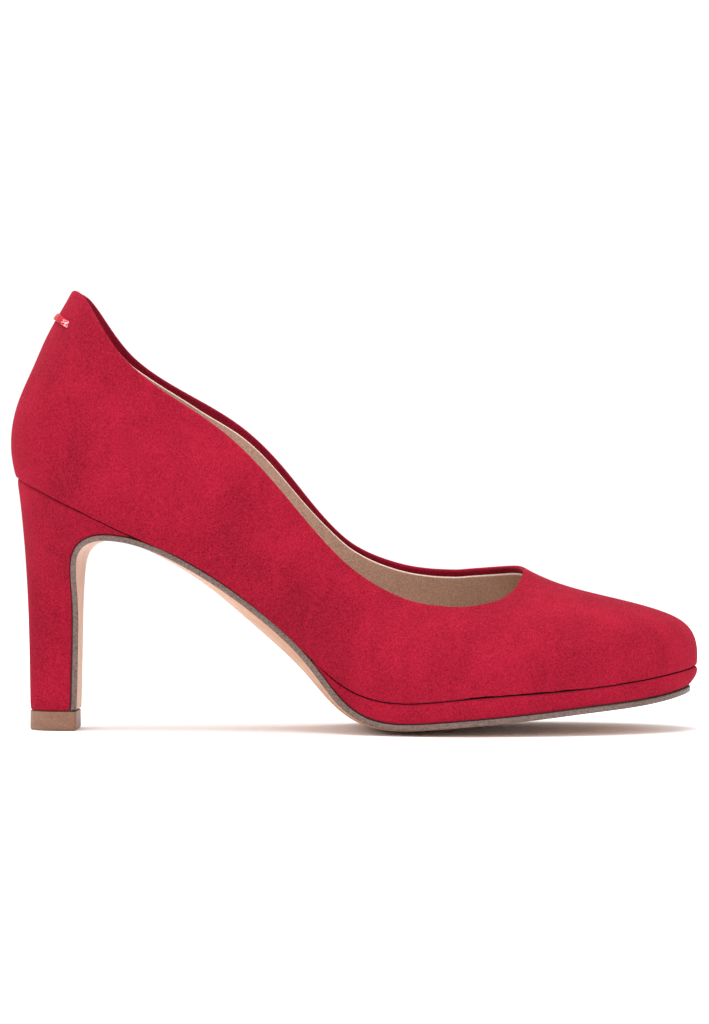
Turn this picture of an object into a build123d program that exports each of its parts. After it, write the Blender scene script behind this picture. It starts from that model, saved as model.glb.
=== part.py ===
from build123d import *
import math
import os

import numpy as np

# A right-foot high heel pump on a low platform, in millimetres.
# X runs from heel to toe, Y to the inner (medial) side, Z up; z = 0 is the ground.
# Shapes are drawn with u, the distance forward of the rearmost point; x = u - LENGTH / 2.

# ---- Driving dimensions -------------------------------------------------------------------
LENGTH = 230.0
LATERAL, MEDIAL = -1, 1

# Zones of the upper, from the back seam to the toe.
HEEL_CENTRE = 38.0
THROAT_CENTRE = 150.0
MID_ZONE = THROAT_CENTRE - HEEL_CENTRE

# Side view: heights over u.
FEATHER_LINE = [
    (0, 85.0), (12, 79.0), (28, 71.0), (44, 63.6), (57, 57.9), (70, 50.1), (83, 40.4), (96, 28.7),
    (103, 21.9), (111, 15.6), (119, 12.0), (130, 10.6), (148, 12.0), (180, 14.5), (213, 18.4),
    (230, 21.6),
]
TOPLINE = {
    LATERAL: [
        (19.5, 147.8), (23, 146.0), (28, 139.2), (34, 129.6), (44, 118.7), (57, 109.5), (70, 100.7),
        (84, 87.6), (97, 72.3), (110, 58.0), (123, 48.6), (136, 43.6), (150, 42.4),
    ],
    MEDIAL: [
        (19.5, 147.8), (23, 146.4), (28, 139.9), (34, 131.2), (47, 119.8), (61, 111.7), (75, 103.0),
        (88, 90.9), (102, 73.6), (112, 63.6), (124, 57.5), (137, 54.3), (150, 53.6),
    ],
}
# Back curve: u over height, from the top piece to the peak of the back.
BACK_CURVE = [
    (0, 5.5), (20, 5.2), (43, 4.6), (58, 3.8), (69, 2.9), (79, 1.8), (84, 0.9), (89, -0.6), (94, -1.0),
    (99, -1.0), (104, -0.3), (109, 1.0), (114, 3.0), (119, 5.1), (129, 9.7), (135, 12.2), (138, 14.0),
    (141, 16.1), (144.3, 17.7), (149, 20.6),
]
# Centre line of the toe: (share of the wall, u, height), from the feather line to the throat.
TOE_CURVE = [
    (0, 229.6, 21.5), (0.14, 230.0, 26.5), (0.28, 229.1, 31.4), (0.42, 225.2, 36.4),
    (0.58, 214.0, 41.0), (0.74, 200.0, 44.5), (0.88, 186.0, 48.0), (0.94, 178.6, 50.6),
    (1, 171.6, 54.1),
]

# Plan view: half widths over u, and over height at the heel.
FEATHER_HALF_WIDTH = {
    LATERAL: [(38, 26.6), (60, 24.6), (80, 23.2), (100, 25.4), (120, 31.4), (138, 36.4), (150, 37.6)],
    MEDIAL: [(38, 26.6), (60, 23.8), (80, 21.6), (100, 22.8), (120, 29.4), (138, 35.2), (150, 36.6)],
}
TOPLINE_HALF_WIDTH = [(38, 26.6), (60, 26.2), (90, 26.8), (120, 28.0), (138, 27.6), (150, 27.2)]
SIDE_BLEND_RUN = 30.0
WALL_BULGE = [(38, 3.2), (60, 3.2), (90, 3.6), (120, 4.6), (150, 5.6)]
HEEL_HALF_WIDTH = [
    (6.4, 9.3), (25, 9.2), (38, 9.7), (44, 11.3), (51, 17.0), (58, 22.0), (65, 25.8), (75, 28.2),
    (96, 29.8), (112, 28.7), (126, 26.4), (138, 23.2), (149, 19.8),
]
# The level sections' exponents low down and at the peak, and the heights between which they change.
HEEL_ROUNDNESS, PEAK_ROUNDNESS = 2.15, 1.85
PEAK_HEIGHTS = (95.0, 145.0)
# The middle of the heel's stem, and the heights between which it moves forward to the seat's.
STEM_CENTRE = 17.6
STEM_HEIGHTS = (38.0, 64.5)
TOE_ROUNDNESS = {LATERAL: 2.05, MEDIAL: 2.3}
THROAT_BLEND = 2.5
# Height of the topline round the throat, over the share of the quarter turn to the centre line.
THROAT_HEIGHT = {
    LATERAL: [(0, 42.4), (0.33, 45.0), (0.5, 47.8), (0.67, 51.2), (0.83, 53.5), (1, 54.1)],
    MEDIAL: [(0, 53.6), (0.33, 54.7), (0.5, 55.1), (0.67, 55.1), (0.83, 54.6), (1, 54.1)],
}

# The outsole's upper edge: (u, height) from the foot of the heel breast to past the toe.
SOLE_PATH = [
    (19.9, 6.5), (20.2, 18), (20.4, 29), (20.5, 40), (20.4, 48), (20.5, 54), (21.3, 59.1), (23.8, 62.9),
    (28.2, 65.0), (34, 65.4), (44, 63.5), (57, 57.8), (70, 50.0), (83, 40.3), (96, 28.6), (103, 20.4),
    (109.5, 11.9), (116, 6.7), (123, 4.2), (130, 3.75), (145, 4.7), (168, 6.8), (194, 9.8), (215, 12.7),
    (236, 18.0),
]
# How far the outsole's middle hangs below its edges, over u.
SOLE_DROP = [
    (20, 0), (35, 0.3), (46, 1.0), (62, 1.9), (83, 3.7), (97, 3.6), (110, 2.4), (123, 2.05), (150, 1.9),
    (190, 1.2), (236, 0.4),
]
SOLE_THICKNESS = 1.9
# The flap on the breast meets the sole here, and the drop grows over this run ahead of it.
SOLE_CUT_U = 40.0
DROP_START_RUN = 12.0
SHEET_HALF_WIDTH = 46.0
# Ahead of this place the sheet keeps one curve across, though the toe narrows.
DROP_EDGE_LAST = 190.0
SOLE_INSET = 0.2
# The point of the path where the bend from the breast to the sole ends.
BEND_END = 8
PLATFORM_START = 101.0
PLATFORM_TOE_TAPER = 2.4
PLATFORM_SIDE_TAPER = 0.4
COVER_WALL = 1.3
COVER_GAP = 0.12
# Down the cover: the share of the taper, the bulge, and the share of the height.
COVER_PROFILE = [(0, 0, 1), (0.1, 0.35, 0.6), (0.55, 0.2, 0.25), (1, 0, 0)]
# The core and the filler under the waist stand this far inside the feather line.
CORE_INSET, FILLER_INSET = 1.8, 1.5
CORE_START, FILLER_SPAN = PLATFORM_START + 1.5, (44.0, 100.0)
SOLE_CUT_DEPTH = 30.0

# Thicknesses, from the outside in.
SUEDE = 1.2
LINING_DEPTHS = (2.05, 2.85)
MIDDLE_DEPTHS = (1.25, 1.95)
FOLD_DEPTH = 2.0
FOLD_HEIGHT = 6.0
LINING_DROP = 2.6
# Where the layers start and end round the wall, in stations from 0 at the back to 3 at the toe.
COUNTER_END, LINING_SEAM, PUFF_START = 1.36, 1.17, 2.32
INTERLINING_SPAN = (1.38, 2.3)
MARGIN_WIDTH = 8.0
INSOLE_INSET = 3.0
COVER_THICKNESS = 0.9
BOND = 0.05

# Stack over the feather line.
MARGIN_TOP = 1.3
BOARD = (MARGIN_TOP + BOND, 3.5)
FOAM = (3.55, 5.0)
SOCK = (5.05, 6.0)
SHANK_BOARD = (BOND, 1.2)
SHANK_BOARD_INSET = MARGIN_WIDTH + 0.6
SHANK_BOARD_END = 114.0

# Heel and hardware.
TOP_PIECE_HEIGHT = 6.4
TOP_PIECE_FRONT = 21.6
POST_RADIUS, FOOT_RADIUS = 1.2, 0.8
HEEL_FRONT = 60.0
HEEL_TOP = 90.0
# The heel ends in a thin tip under the waist; the seat's cut starts behind and goes on down past it.
HEEL_TIP = 43.5
SEAT_BEHIND = (-6.0, 0.0, 88.2)
SEAT_FAR = 50.0
HEEL_PIN_U = 12.4
HEEL_PIN_RADIUS = 2.75
HEEL_PIN_TOP = 46.0
DOWEL_RADIUS = 1.5
DOWEL_SPAN = (2.4, 20.0)
SCREW_U = 13.5
SCREW_SPAN = (50.0, 80.3)
SCREW_RADIUS = 2.0
SCREW_HEAD = (4.0, 1.8)
NAIL_PLACES = [(13.5, -10.0), (13.5, 10.0), (22.0, -12.0), (22.0, 12.0)]
NAIL_RADIUS = 0.8
NAIL_LENGTH = 10.0
SHANK_SPAN = (24.0, 112.0)
# The rivets' lower ends stop this far above the shank's underside, which slopes.
RIVET_RAISE = 1.0
SHANK_HALF_WIDTH, SHANK_CLEARANCE = 4.5, 0.9
RIVET_PLACES = (30.0, 106.0)
RIVET_RADIUS = 1.5

# Back tab: a narrow strip across the back seam.
TAB_HEIGHT = 138.5
TAB_FALL = 0.68
TAB_WIDTH = 2.2
TAB_DEPTHS = (0.05, 0.7)
TAB_TURN = 0.48

# Sections of the lofts.
WALL_POINTS = 9
HEEL_STEPS, SIDE_STEPS, TOE_STEPS = 11, 24, 20
SOLE_STEP = 4.0
CLOSEST_STATIONS = 0.015
# The step, in stations or shares, over which the surface's directions are measured.
TINY_STEP = 0.002

# Tools that reach well past the shoe: its behind and front, its width, height and the ground.
BEHIND, AHEAD = -8.0, 236.0
WIDE, TALL, UNDERGROUND = 160.0, 200.0, 20.0


# ---- Curves -------------------------------------------------------------------------------
def smooth_curve(points):
    """A natural cubic spline through (position, value) points, held level past its ends."""
    at = np.array([p[0] for p in points], float)
    value = np.array([p[1] for p in points], float)
    step = np.diff(at)
    slope = np.diff(value) / step
    count = len(at)
    system = np.eye(count)
    pull = np.zeros(count)
    for i in range(1, count - 1):
        system[i, i - 1 : i + 2] = step[i - 1], 2 * (step[i - 1] + step[i]), step[i]
        pull[i] = 6 * (slope[i] - slope[i - 1])
    bend = np.linalg.solve(system, pull)

    def curve(place):
        place = min(max(place, at[0]), at[-1])
        i = min(int(np.searchsorted(at, place, side="right")) - 1, count - 2)
        before, after, h = place - at[i], at[i + 1] - place, step[i]
        cubic = (bend[i] * after**3 + bend[i + 1] * before**3) / (6 * h)
        line = (value[i] / h - bend[i] * h / 6) * after + (value[i + 1] / h - bend[i + 1] * h / 6) * before
        return cubic + line

    return curve


def ease(share):
    """Go smoothly from 0 to 1."""
    share = min(max(share, 0.0), 1.0)
    return share * share * (3 - 2 * share)


def solve(function, low, high):
    """The place between low and high where a rising function crosses zero."""
    for _ in range(50):
        middle = (low + high) / 2
        if function(middle) > 0:
            high = middle
        else:
            low = middle
    return (low + high) / 2


feather = smooth_curve(FEATHER_LINE)
topline = {side: smooth_curve(TOPLINE[side]) for side in (LATERAL, MEDIAL)}
back_curve = smooth_curve(BACK_CURVE)
toe_u = smooth_curve([(p[0], p[1]) for p in TOE_CURVE])
toe_z = smooth_curve([(p[0], p[2]) for p in TOE_CURVE])
feather_half_width = {side: smooth_curve(FEATHER_HALF_WIDTH[side]) for side in (LATERAL, MEDIAL)}
topline_half_width = smooth_curve(TOPLINE_HALF_WIDTH)
wall_bulge = smooth_curve(WALL_BULGE)
heel_half_width = smooth_curve(HEEL_HALF_WIDTH)
sole_drop = smooth_curve(SOLE_DROP)
throat_height = {side: smooth_curve(THROAT_HEIGHT[side]) for side in (LATERAL, MEDIAL)}


def path_curves(points):
    """Splines for u and height along a path, over its chord length."""
    run = [0.0]
    for a, b in zip(points, points[1:]):
        run.append(run[-1] + math.dist(a, b))
    along_u = smooth_curve([(s, p[0]) for s, p in zip(run, points)])
    along_z = smooth_curve([(s, p[1]) for s, p in zip(run, points)])
    return run, along_u, along_z


sole_run, sole_u, sole_z = path_curves(SOLE_PATH)


def sole_place(u):
    """Distance along the outsole's path of the sole (not the breast) at u."""
    return solve(lambda s: sole_u(s) - u, sole_run[BEND_END - 1], sole_run[-1])


def sole_top(u):
    return sole_z(sole_place(u))


# ---- The upper's outer surface --------------------------------------------------------------
def heel_centre(z):
    """Where the round back of a level section meets its straight sides."""
    low, high = STEM_HEIGHTS
    return STEM_CENTRE + (HEEL_CENTRE - STEM_CENTRE) * ease((z - low) / (high - low))


def heel_roundness(z):
    """The level section's exponent: fuller low down, more pointed at the peak of the back."""
    low, high = PEAK_HEIGHTS
    return HEEL_ROUNDNESS + (PEAK_ROUNDNESS - HEEL_ROUNDNESS) * ease((z - low) / (high - low))


def heel_point(side, turn, z):
    """A point of the heel's level section; turn is 0 at the back and 1 at the side."""
    angle = turn * math.pi / 2
    power = 2 / heel_roundness(z)
    centre = heel_centre(z)
    u = centre - (centre - back_curve(z)) * max(math.cos(angle), 0.0) ** power
    y = heel_half_width(z) * math.sin(angle) ** power if turn > 0 else 0.0
    return u, side * y, z


def wall_half_width(side, u, share):
    """Half width of the wall at u, from the feather line (share 0) to the topline (1)."""
    heel_z = feather(HEEL_CENTRE) + (topline[side](HEEL_CENTRE) - feather(HEEL_CENTRE)) * share
    low, high = feather_half_width[side](u), topline_half_width(u)
    front = low + (high - low) * share + wall_bulge(u) * 4 * share * (1 - share)
    blend = ease((u - HEEL_CENTRE) / SIDE_BLEND_RUN)
    return heel_half_width(heel_z) * (1 - blend) + front * blend


def toe_reach(side, angle, share):
    """How far the toe's wall is from the throat's centre, at an angle from square across."""
    across = wall_half_width(side, THROAT_CENTRE, share)
    ahead = toe_u(share) - THROAT_CENTRE
    power = TOE_ROUNDNESS[side]
    c, s = max(math.cos(angle), 0.0), math.sin(angle)
    return ((c / across) ** power + (s / ahead) ** power) ** (-1 / power)


def toe_point(side, angle, share):
    """A point on the toe's wall, in the upright plane turned by angle about the throat's centre."""
    c, s = max(math.cos(angle), 0.0), math.sin(angle)
    reach = toe_reach(side, angle, share)
    base = feather(THROAT_CENTRE + s * toe_reach(side, angle, 0))
    blend = s**THROAT_BLEND
    toe_share = (toe_z(share) - toe_z(0)) / (toe_z(1) - toe_z(0))
    rise = share * (1 - blend) + toe_share * blend
    z = base + (throat_height[side](angle * 2 / math.pi) - base) * rise
    return THROAT_CENTRE + reach * s, side * reach * c, z


def surface(side, station, share):
    """The upper's outer face. station runs 0-1 round the heel, 1-2 along the side, 2-3 round the toe."""
    if station < 0:
        u, y, z = surface(side, -station, share)
        return u, -y, z
    if station > 3:
        u, y, z = surface(side, 6 - station, share)
        return u, -y, z
    if station <= 1:
        low = solve(lambda z: z - feather(heel_point(side, station, z)[0]), 60, 90)
        high = solve(lambda z: z - topline[side](heel_point(side, station, z)[0]), 100, 149)
        return heel_point(side, station, low + (high - low) * share)
    if station <= 2:
        u = HEEL_CENTRE + MID_ZONE * (station - 1)
        z = feather(u) + (topline[side](u) - feather(u)) * share
        return u, side * wall_half_width(side, u, share), z
    return toe_point(side, (station - 2) * math.pi / 2, share)


def normal(side, station, share):
    """The outward normal, kept in the section's own plane and stretched to hold the thickness."""
    after, before = surface(side, station + TINY_STEP, share), surface(side, station - TINY_STEP, share)
    ahead = np.array(after) - np.array(before)
    up_share, down_share = min(share + TINY_STEP, 1), max(share - TINY_STEP, 0)
    up = np.array(surface(side, station, up_share)) - np.array(surface(side, station, down_share))
    out = np.cross(ahead, up) * -side
    out /= np.linalg.norm(out)
    if station <= 0 or station >= 3:
        out[1] = 0
    elif station <= 1:
        return out
    elif station <= 2:
        out[0] = 0
    else:
        angle = (station - 2) * math.pi / 2
        sideways = np.array([math.cos(angle), -side * math.sin(angle), 0])
        out -= sideways * out.dot(sideways)
    return out / out.dot(out)


def inside(side, station, share, depth):
    """The point a given depth behind the upper's outer face."""
    return tuple(np.array(surface(side, station, share)) - normal(side, station, share) * depth)


def inward(side, station):
    """The level direction from the feather edge to the inside, in the section's plane."""
    if station <= 0:
        return np.array([1.0, 0.0, 0.0])
    if station >= 3:
        return np.array([-1.0, 0.0, 0.0])
    out = normal(side, station, 0.0)
    flat = -np.array([out[0], out[1], 0.0])
    if station > 2:
        angle = (station - 2) * math.pi / 2
        flat = -np.array([math.sin(angle), side * math.cos(angle), 0.0])
    return flat / np.linalg.norm(flat)


def wall_length(side, station):
    points = [surface(side, station, i / 12) for i in range(13)]
    return sum(math.dist(a, b) for a, b in zip(points, points[1:]))


def stations(first, last):
    """Section places between two stations, a few millimetres apart."""
    grid = [i / HEEL_STEPS for i in range(HEEL_STEPS)]
    grid += [1 + i / SIDE_STEPS for i in range(SIDE_STEPS)]
    grid += [2 + i / TOE_STEPS for i in range(TOE_STEPS + 1)]
    between = [place for place in grid if first + CLOSEST_STATIONS < place < last - CLOSEST_STATIONS]
    return [first] + between + [last]


# ---- Solid builders -------------------------------------------------------------------------
def to_frame(point):
    return Vector(point[0] - LENGTH / 2, point[1], point[2])


def closed_wire(strokes):
    """Join strokes end to end; two points make a line, more make a spline."""
    edges = []
    for stroke in strokes:
        spots = [to_frame(p) for p in stroke]
        edges.append(Edge.make_line(*spots) if len(spots) == 2 else Edge.make_spline(spots))
    return Wire(edges)


def skin(sections):
    """A solid through close sections, straight from each to the next."""
    return Solid.make_loft(sections, ruled=True)


def extrude_across(strokes):
    """A closed outline in the side view, extruded right across the shoe."""
    face = Face(closed_wire(strokes))
    return Solid.extrude(face, Vector(0, WIDE, 0)).moved(Location((0, -WIDE / 2, 0)))


def wide_box(first, last, half_width, low, high):
    """A box across the shoe between two places along it."""
    corner = Plane(to_frame((first, -half_width, low)))
    return Solid.make_box(last - first, 2 * half_width, high - low, corner)


def one_solid(shape):
    """The largest solid of a boolean's result."""
    return max(shape.solids(), key=lambda s: s.volume)


def both_sides(half, first, last):
    """Loft the lateral and medial halves and join them; they share their centre-plane sections."""

    def section(side, station):
        return half(LATERAL if station in (0.0, 3.0) else side, station)

    halves = [skin([section(side, s) for s in stations(first, last)]) for side in (LATERAL, MEDIAL)]
    return one_solid(halves[0].fuse(halves[1]))


def layer_section(side, station, depths, low, high):
    """A four-sided section of a layer, low above the feather line and high below the topline."""
    length = wall_length(side, station)
    shares = np.linspace(low / length, 1 - high / length, WALL_POINTS)
    outer = [inside(side, station, t, depths[0]) for t in shares]
    inner = [inside(side, station, t, depths[1]) for t in shares[::-1]]
    return closed_wire([outer, [outer[-1], inner[0]], inner, [inner[-1], outer[0]]])


def upper_section(side, station):
    """The upper's section: wall, folded topline edge, and lasting margin turned under."""
    length = wall_length(side, station)
    fold = 1 - FOLD_HEIGHT / length
    foot = MARGIN_TOP / length
    outer = [inside(side, station, t, 0) for t in np.linspace(1, 0, WALL_POINTS)]
    under = np.array(outer[-1]) + inward(side, station) * MARGIN_WIDTH
    under[2] = feather(under[0])
    over = under + np.array([0, 0, SUEDE])
    inner = [inside(side, station, t, SUEDE) for t in np.linspace(foot, fold, WALL_POINTS)]
    folded = [inside(side, station, t, FOLD_DEPTH) for t in np.linspace(fold, 1, 4)]
    return closed_wire([
        outer, [outer[-1], under], [under, over], [over, inner[0]], inner,
        [inner[-1], folded[0]], folded, [folded[-1], outer[0]],
    ])


def plan_outline(inset):
    """The feather outline in plan, moved in by an inset, as (u, y) points round the shoe."""
    ring = []
    for side, order in ((LATERAL, 1), (MEDIAL, -1)):
        for station in stations(0.0, 3.0)[::order]:
            after, before = surface(side, station + TINY_STEP, 0), surface(side, station - TINY_STEP, 0)
            ahead = np.array(after) - np.array(before)
            out = np.array([-ahead[1], ahead[0]]) * side
            out /= np.linalg.norm(out)
            u, y, _ = surface(side, station, 0)
            ring.append((u - out[0] * inset, 0.0 if station in (0.0, 3.0) else y - out[1] * inset))
    return ring


def plan_prism(inset, extra_toe=0.0):
    """An upright prism over the feather outline moved in by an inset, more so at the toe."""
    ring = plan_outline(inset)
    spots = []
    for u, y in ring:
        pull = extra_toe * ease((u - THROAT_CENTRE) / (LENGTH - THROAT_CENTRE))
        point = to_frame((u - pull, y, -UNDERGROUND))
        if not spots or (point - spots[-1]).length > 0.5:
            spots.append(point)
    if (spots[0] - spots[-1]).length < 0.5:
        spots.pop()
    face = Face(Wire([Edge.make_spline(spots, periodic=True)]))
    return Solid.extrude(face, Vector(0, 0, UNDERGROUND + TALL))


def feather_offset(u, height):
    """The point a given height square above the feather line."""
    slope = (feather(u + 0.1) - feather(u - 0.1)) / 0.2
    scale = height / math.hypot(slope, 1)
    return u - slope * scale, 0, feather(u) + scale


def feather_slab(low, high, first, last):
    """A slab right across the shoe between two heights over the feather line."""
    places = np.linspace(first, last, 30)
    under = [feather_offset(u, low) for u in places]
    over = [feather_offset(u, high) for u in places[::-1]]
    return extrude_across([under, [under[-1], over[0]], over, [over[-1], under[0]]])


def upright_rod(u, y, radius, low, high):
    return Solid.make_cylinder(radius, high - low, Plane(to_frame((u, y, low))))


# ---- Upper and linings ----------------------------------------------------------------------
def make_upper():
    return both_sides(upper_section, 0.0, 3.0)


def make_layer(depths, low, high, first, last):
    def half(side, station):
        return layer_section(side, station, depths, low, high)

    return both_sides(half, first, last)


def make_interlining(side):
    def half(station):
        return layer_section(side, station, MIDDLE_DEPTHS, MARGIN_TOP + 0.2, FOLD_HEIGHT + 0.3)

    return skin([half(s) for s in stations(*INTERLINING_SPAN)])


def tab_section(side, turn):
    """The strip's section at one turn from the back seam; it drops as it runs forward."""
    middle = TAB_HEIGHT
    for _ in range(6):
        ahead = heel_point(side, turn, middle)[0] - back_curve(TAB_HEIGHT)
        middle = TAB_HEIGHT - TAB_FALL * ahead
    low = np.array(heel_point(side, turn, middle - TAB_WIDTH / 2))
    high = np.array(heel_point(side, turn, middle + TAB_WIDTH / 2))
    before, after = heel_point(side, max(turn - 0.02, 0), middle), heel_point(side, turn + 0.02, middle)
    out = np.cross(np.array(after) - np.array(before), high - low) * -side
    if turn == 0:
        out[1] = 0
    out /= np.linalg.norm(out)
    outer_low, outer_high = low + out * TAB_DEPTHS[1], high + out * TAB_DEPTHS[1]
    inner_low, inner_high = low + out * TAB_DEPTHS[0], high + out * TAB_DEPTHS[0]
    corners = [tuple(p) for p in (outer_low, outer_high, inner_high, inner_low)]
    return closed_wire([[corners[i], corners[(i + 1) % 4]] for i in range(4)])


def make_back_tab():
    """The strip follows the upper's back and stands a little proud of it."""
    turns = np.linspace(0, TAB_TURN, 6)
    halves = [skin([tab_section(side, t) for t in turns]) for side in (LATERAL, MEDIAL)]
    return one_solid(halves[0].fuse(halves[1]))


# ---- Insole and bottom ------------------------------------------------------------------------
def make_stack_layer(span, inset, first=BEHIND, last=AHEAD):
    return one_solid(plan_prism(inset).intersect(feather_slab(span[0], span[1], first, last)))


def sole_hang(u, y, edge):
    """How far the outsole hangs below its edges at one place, for edges that far from its middle."""
    return sole_drop(u) * ease((u - SOLE_CUT_U) / DROP_START_RUN) * (1 - (y / edge) ** 2)


def sheet_edge(u):
    """Where the sole's edges are for its hang; past the ball of the foot they stay put."""
    return half_width_at(min(u, DROP_EDGE_LAST))


def sole_section(run, half_left, half_right, thickness, edge):
    """A section of the outsole square to its path; its middle hangs below its edges."""
    step = 0.2
    u, z = sole_u(run), sole_z(run)
    along = np.array([sole_u(run + step) - sole_u(run - step), 0, sole_z(run + step) - sole_z(run - step)])
    along /= np.linalg.norm(along)
    down = np.array([along[2], 0, -along[0]])

    def row(depth):
        points = []
        for y in np.linspace(-half_left, half_right, 7):
            points.append(tuple(np.array([u, y, z]) + down * (depth + sole_hang(u, y, edge))))
        return points

    top, bottom = row(0.0), row(thickness)[::-1]
    return closed_wire([top, [top[-1], bottom[0]], bottom, [bottom[-1], top[0]]])


def sole_sheet(thickness):
    """The bent sheet that the sole is cut from, wider than the shoe."""
    start, end = sole_place(SOLE_CUT_U), sole_place(AHEAD - 2)
    sections = []
    for run in np.linspace(start, end, int((end - start) / SOLE_STEP)):
        edge = sheet_edge(sole_u(run))
        sections.append(sole_section(run, SHEET_HALF_WIDTH, SHEET_HALF_WIDTH, thickness, edge))
    return skin(sections)


def half_width_at(u):
    """Mean half width of the feather outline at u."""
    place = min(max(u, HEEL_CENTRE), THROAT_CENTRE)
    mean = (feather_half_width[LATERAL](place) + feather_half_width[MEDIAL](place)) / 2
    power = (TOE_ROUNDNESS[LATERAL] + TOE_ROUNDNESS[MEDIAL]) / 2
    ahead = max((u - THROAT_CENTRE) / (LENGTH - THROAT_CENTRE), 0)
    return mean * max(1 - ahead**power, 0) ** (1 / power)


def breast_half_width(u, z):
    """Half width of the heel's level section at u."""
    centre, back = heel_centre(z), back_curve(z)
    share = min(max((centre - u) / (centre - back), 0), 1)
    power = heel_roundness(z)
    return heel_half_width(z) * (1 - share**power) ** (1 / power)


def make_breast_flap():
    """The outsole's rear end, which bends down and covers the heel's breast."""
    cut = sole_place(SOLE_CUT_U)
    sections = []
    for run in np.linspace(cut, 0, int(cut / 2)):
        u, z = sole_u(run), sole_z(run)
        width = breast_half_width(u, z) if run < sole_run[BEND_END] else 0
        left = width or feather_half_width[LATERAL](SOLE_CUT_U) - SOLE_INSET
        right = width or feather_half_width[MEDIAL](SOLE_CUT_U) - SOLE_INSET
        sections.append(sole_section(run, left, right, SOLE_THICKNESS, half_width_at(SOLE_CUT_U)))
    return skin(sections)


def make_outsole():
    outline = plan_prism(SOLE_INSET, PLATFORM_TOE_TAPER - 2 * SOLE_INSET)
    front = sole_sheet(SOLE_THICKNESS).intersect(outline)
    whole = one_solid(one_solid(front).fuse(make_breast_flap()))
    ground = wide_box(BEHIND, AHEAD, WIDE / 2, -UNDERGROUND, 0)
    return one_solid(whole.cut(ground))


def cover_inset(station):
    """How far the platform's lower edge is drawn in, and the cover's inner wall."""
    toe = ease(station - 2)
    taper = PLATFORM_SIDE_TAPER + (PLATFORM_TOE_TAPER - PLATFORM_SIDE_TAPER) * toe
    return taper, COVER_WALL + taper


def cover_section(side, station):
    """The cover's section: a wall that bulges a little between the feather edge and the sole."""
    edge = np.array(surface(side, station, 0))
    direction = inward(side, station)
    taper, wall = cover_inset(station)

    def place(shift, height):
        point = edge + direction * shift
        u, y, _ = point
        low = sole_top(u) - sole_hang(u, y, sheet_edge(u)) + COVER_GAP
        high = feather(u) - BOND
        point[2] = low + (high - low) * height
        return tuple(point)

    outer = [place(taper * drawn - bulge, height) for drawn, bulge, height in COVER_PROFILE]
    inner = [place(wall, 0), place(wall, 1)]
    return closed_wire([outer, [outer[-1], inner[0]], inner, [inner[-1], outer[0]]])


def make_platform_cover():
    first = 1 + (PLATFORM_START - HEEL_CENTRE) / MID_ZONE
    return both_sides(cover_section, first, 3.0)


def above_sole(block):
    """What is left of a block above the outsole."""
    return one_solid(block.cut(sole_sheet(SOLE_CUT_DEPTH)))


def make_platform_core():
    prism = plan_prism(CORE_INSET, PLATFORM_TOE_TAPER - 0.1)
    slab = feather_slab(-UNDERGROUND, -BOND, CORE_START, AHEAD)
    return above_sole(one_solid(prism.intersect(slab)))


def make_waist_filler():
    """Fills the hollow between the flat insole and the rounded waist of the outsole."""
    slab = feather_slab(BEHIND, -BOND, *FILLER_SPAN)
    return above_sole(one_solid(plan_prism(FILLER_INSET).intersect(slab)))


def make_shank():
    strip = feather_slab(*SHANK_BOARD, *SHANK_SPAN)
    width = wide_box(BEHIND, AHEAD, SHANK_HALF_WIDTH, -UNDERGROUND, TALL)
    return one_solid(strip.intersect(width))


def make_shank_slot():
    """The slot through the shank board, a little longer than the shank."""
    first, last = SHANK_SPAN[0] - SHANK_CLEARANCE, SHANK_SPAN[1] + SHANK_CLEARANCE
    return wide_box(first, last, SHANK_HALF_WIDTH, 0, TALL)


# ---- Heel ---------------------------------------------------------------------------------------
def heel_round(z, inset):
    """The round back of the heel's level section, moved in by an inset."""
    points = []
    for turn in np.linspace(-1, 1, 15):
        side = MEDIAL if turn > 0 else LATERAL
        u, y, _ = heel_point(side, abs(turn), z)
        angle = abs(turn) * math.pi / 2
        points.append((u + inset * math.cos(angle), y - side * inset * math.sin(angle), z))
    return points


def heel_block_section(z, inset):
    back = heel_round(z, inset)
    left, right = (HEEL_FRONT, back[0][1], z), (HEEL_FRONT, back[-1][1], z)
    return closed_wire([back, [back[-1], right], [right, left], [left, back[0]]])


def heel_shell_section(z, inset):
    outer, inner = heel_round(z, 0), heel_round(z, inset)[::-1]
    left, right = (HEEL_FRONT, outer[0][1], z), (HEEL_FRONT, outer[-1][1], z)
    inner_right, inner_left = (HEEL_FRONT, inner[0][1], z), (HEEL_FRONT, inner[-1][1], z)
    return closed_wire([
        outer, [outer[-1], right], [right, inner_right], [inner_right, inner[0]],
        inner, [inner[-1], inner_left], [inner_left, left], [left, outer[0]],
    ])


def trim_heel(block):
    """Cut a heel loft to the seat above, and to the breast and the sole in front."""
    seat = [(u, 0, feather(u) - BOND) for u in np.linspace(0, HEEL_TIP, 12)]
    seat[0] = SEAT_BEHIND
    far = HEEL_FRONT + 10
    back = SEAT_BEHIND[0]
    top = extrude_across([
        seat, [seat[-1], (far, 0, SEAT_FAR)], [(far, 0, SEAT_FAR), (far, 0, TALL)],
        [(far, 0, TALL), (back, 0, TALL)], [(back, 0, TALL), seat[0]],
    ])
    runs = np.linspace(0.0, sole_place(HEEL_TIP + 1.5), 26)
    breast = [(sole_u(r) - BOND, 0, sole_z(r) + BOND) for r in runs]
    breast[0] = (breast[0][0], 0, -UNDERGROUND)
    high = breast[-1][2]
    front = extrude_across([
        breast, [breast[-1], (far, 0, high)], [(far, 0, high), (far, 0, -UNDERGROUND)],
        [(far, 0, -UNDERGROUND), breast[0]],
    ])
    return cut_all(block, [top, front])


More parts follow.
